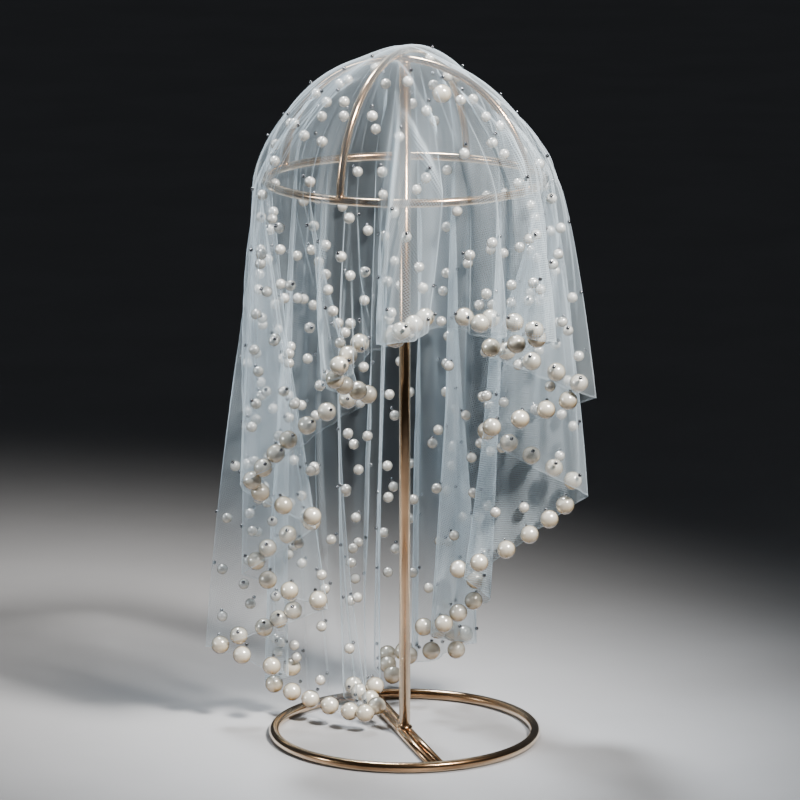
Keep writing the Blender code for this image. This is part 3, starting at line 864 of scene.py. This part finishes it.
def field_places():
    """Flat azimuth and run of each small pearl, on a staggered grid with a hand's unevenness."""
    chance = random.Random(FIELD_CHANCE)
    places = []
    middle = direction(SHORT_SIDE) * -CROWN_OFFSET
    reach = int(CLOTH_RADIUS / FIELD_PITCH) + 2
    for i in range(-2 * reach, 2 * reach + 1):
        for j in range(-2 * reach, 2 * reach + 1):
            if (i + j) % 2:
                continue
            x = i * FIELD_PITCH / 2 + chance.uniform(-FIELD_JITTER, FIELD_JITTER)
            y = j * FIELD_PITCH / 2 + chance.uniform(-FIELD_JITTER, FIELD_JITTER)
            if math.hypot(x - middle.x, y - middle.y) > CLOTH_RADIUS - FIELD_INSET:
                continue
            places.append((math.atan2(x, -y), max(FIELD_NEAREST, math.hypot(x, y))))
    return places


def string_pearls(places, diameter, kept, nudges):
    """Centres and stud places of the pearls, each at the nearest of its places that has room."""
    strung = []
    for flat, run in places:
        for nudge in nudges:
            azimuth = flat + math.radians(nudge)
            normal = outward(azimuth, run)
            cloth = drape(azimuth, run)
            centre = cloth - normal * (diameter / 2 + RIPPLE)
            centre.z -= diameter / 2 * PEARL_DROOP
            crowded = any(
                (centre - other).length < (diameter + wide) / 2 * PEARL_TOUCH for other, wide in kept
            )
            if crowded or not clear_of_stand(centre, diameter / 2):
                continue
            kept.append((centre, diameter))
            above = run - diameter / 2 * STUD_RISE
            lift = ripple(azimuth, above) + crease(azimuth, above) + STUD * STUD_PROUD
            stud = drape(azimuth, above) + outward(azimuth, above) * lift
            strung.append((centre, stud))
            break
    return strung


def round_beads(centres, diameter, roundness):
    """Balls at these places, each an icosphere divided this often."""
    build = bmesh.new()
    for centre in centres:
        bmesh.ops.create_icosphere(
            build, subdivisions=roundness, radius=diameter / 2, matrix=Matrix.Translation(centre),
        )
    return build


kept_pearls = []
strays = [(math.radians(flat), run / 1000) for flat, run in STRAYS]
hem_row = string_pearls(hem_places() + strays, HEM_PEARL, kept_pearls, HEM_NUDGES)
field = string_pearls(field_places(), FIELD_PEARL, kept_pearls, (0,))
cream_pearl = pearl_lustre("cream pearl", CREAM_SHADE, CREAM_LIGHT, CREAM_PAINTED_REFLECTION, CREAM_PAINTED_RIM_SHADE)
white_pearl = pearl_lustre("white pearl", WHITE_SHADE, WHITE_LIGHT, WHITE_PAINTED_REFLECTION, WHITE_PAINTED_RIM_SHADE)
build = round_beads([centre for centre, stud in hem_row], HEM_PEARL, HEM_ROUNDNESS)
hem_pearls = finish_piece("hem_pearls", build, cream_pearl)
build = round_beads([centre for centre, stud in field], FIELD_PEARL, FIELD_ROUNDNESS)
field_pearls = finish_piece("field_pearls", build, white_pearl)


# ---- Studs ----
# A tiny polished gunmetal ball on the outside of the net at each pearl: the end of the pin that runs
# through the net into the pearl and holds it there.
STUD_ROUNDNESS = 1
STUD_CLOUDS = 300.0  # to the metre
STUD_SHADE = (0.16, 0.16, 0.17, 1.0)
STUD_LIGHT = (0.28, 0.28, 0.30, 1.0)


def gunmetal():
    """Dark polished metal, a little clouded."""
    material, tree, shader, place = start_material("gunmetal")
    uneven = add_uneven_tone(tree, place, STUD_CLOUDS, STUD_SHADE, STUD_LIGHT)
    tree.links.new(uneven.outputs["Tone"], shader.inputs["Base Color"])
    shader.inputs["Metallic"].default_value = 1.0
    shader.inputs["Roughness"].default_value = 0.15
    return material


build = round_beads([stud for centre, stud in hem_row + field], STUD, STUD_ROUNDNESS)
pearl_studs = finish_piece("pearl_studs", build, gunmetal())


# ---- Floor ----
# A plain pale studio floor of painted board, lit only round the stand. Its paint was rolled on, so it
# lies a little lighter and darker, and a little rougher and smoother, in broad soft patches.
FLOOR_RADIUS = 9.0
FLOOR_SIDES = 96
FLOOR_PATCHES = 9.0  # to the metre
FLOOR_SHADE = (0.405, 0.405, 0.415, 1.0)
FLOOR_LIGHT = (0.435, 0.435, 0.445, 1.0)


def floor_paint():
    """Pale matt paint in broad patches."""
    material, tree, shader, place = start_material("pale floor")
    uneven = add_uneven_tone(tree, place, FLOOR_PATCHES, FLOOR_SHADE, FLOOR_LIGHT)
    tree.links.new(uneven.outputs["Tone"], shader.inputs["Base Color"])
    dull = tree.nodes.new("ShaderNodeMapRange")
    dull.inputs["To Min"].default_value = 0.74
    dull.inputs["To Max"].default_value = 0.66
    tree.links.new(uneven.outputs["Patches"], dull.inputs["Value"])
    tree.links.new(dull.outputs["Result"], shader.inputs["Roughness"])
    return material


build = bmesh.new()
bmesh.ops.create_circle(build, cap_ends=True, segments=FLOOR_SIDES, radius=FLOOR_RADIUS)
floor_mesh = bpy.data.meshes.new("floor")
build.to_mesh(floor_mesh)
build.free()
floor_mesh.materials.append(floor_paint())
floor = bpy.data.objects.new("floor", floor_mesh)
bpy.context.scene.collection.objects.link(floor)


# ---- Light ----
# Softboxes with narrow grids, so the floor is pale round the stand and falls away dark behind it: a key
# from the upper right, a fill from the left, and one from behind that shines through the net.
LAMP_AIM = Vector((0, 0, 0.22))
ROOM_COLOUR = (0.50, 0.53, 0.58, 1.0)
ROOM_STRENGTH = 0.05
NET_LAYERS = 40  # layers of net that light may cross

# Name, place, size across, watts, spread in degrees, colour.
LAMPS = (
    ("key", (0.75, -0.75, 1.45), 0.30, 1.40, 20.0, (1.0, 0.97, 0.93)),
    ("fill", (-1.20, -0.35, 0.60), 0.40, 0.25, 18.0, (0.86, 0.94, 1.0)),
    ("back", (-0.25, 0.50, 1.50), 0.35, 0.70, 18.0, (0.90, 0.95, 1.0)),
)
for name, place, size, power, spread, colour in LAMPS:
    lamp = bpy.data.lights.new(name, "AREA")
    lamp.shape = "DISK"
    lamp.size = size
    lamp.energy = power
    lamp.spread = math.radians(spread)
    lamp.color = colour
    holder = bpy.data.objects.new(name, lamp)
    holder.location = place
    holder.rotation_euler = (LAMP_AIM - Vector(place)).to_track_quat("-Z", "Y").to_euler()
    holder.visible_camera = False
    bpy.context.scene.collection.objects.link(holder)
world = bpy.data.worlds.new("studio")
world.use_nodes = True
world.node_tree.nodes["Background"].inputs["Color"].default_value = ROOM_COLOUR
world.node_tree.nodes["Background"].inputs["Strength"].default_value = ROOM_STRENGTH
bpy.context.scene.world = world
bpy.context.scene.cycles.transparent_max_bounces = NET_LAYERS


# ---- Camera ----
# Long lens, a little above the head ring, looking slightly down on the middle of the veil.
CAMERA_DISTANCE = 2.48
CAMERA_DROP = math.radians(12.5)
CAMERA_AIM = Vector((-0.0025, 0.0, 0.1825))
CAMERA_LENS = 212.9
CAMERA_SENSOR = 36.0
camera_data = bpy.data.cameras.new("camera")
camera_data.lens = CAMERA_LENS
camera_data.sensor_width = CAMERA_SENSOR
camera = bpy.data.objects.new("camera", camera_data)
back = Vector((0, -math.cos(CAMERA_DROP), math.sin(CAMERA_DROP)))
camera.location = CAMERA_AIM + back * CAMERA_DISTANCE
camera.rotation_euler = (math.pi / 2 - CAMERA_DROP, 0, 0)
bpy.context.scene.collection.objects.link(camera)
bpy.context.scene.camera = camera
